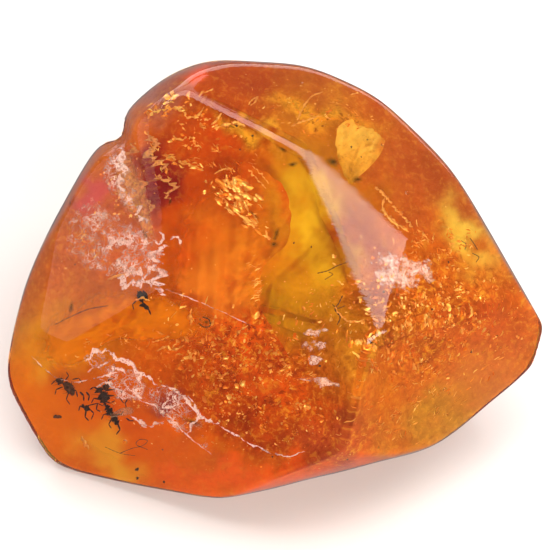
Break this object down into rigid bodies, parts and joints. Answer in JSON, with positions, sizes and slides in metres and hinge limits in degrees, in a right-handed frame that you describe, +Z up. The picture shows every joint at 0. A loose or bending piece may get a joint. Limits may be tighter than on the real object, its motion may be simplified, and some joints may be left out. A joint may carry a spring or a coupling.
{
  "type": "insect in amber",
  "caption": "Polished clear amber nugget with ground flats, holding broken insect remains, golden spangles and healed cracks; rests on one flat.",
  "frame": {"origin": "on the ground resting flat, under the middle of the nugget's box", "axes": "+Z up, +X along the nugget's length towards its pointed end, +Y towards the back, where the girdle is highest"},
  "size_m": [0.042, 0.0312, 0.0273],
  "materials": {
    "amber": "polished",
    "insect_remains": "satin",
    "insect_wings": "gloss",
    "sun_spangles": "gloss",
    "fracture_veils": "satin",
    "resin_flows": "satin",
    "plant_debris": "matte",
    "gas_bubbles": "gloss"
  },
  "bodies": {
    "root": {"amber_nugget": "amber"}
  },
  "joints": []
}
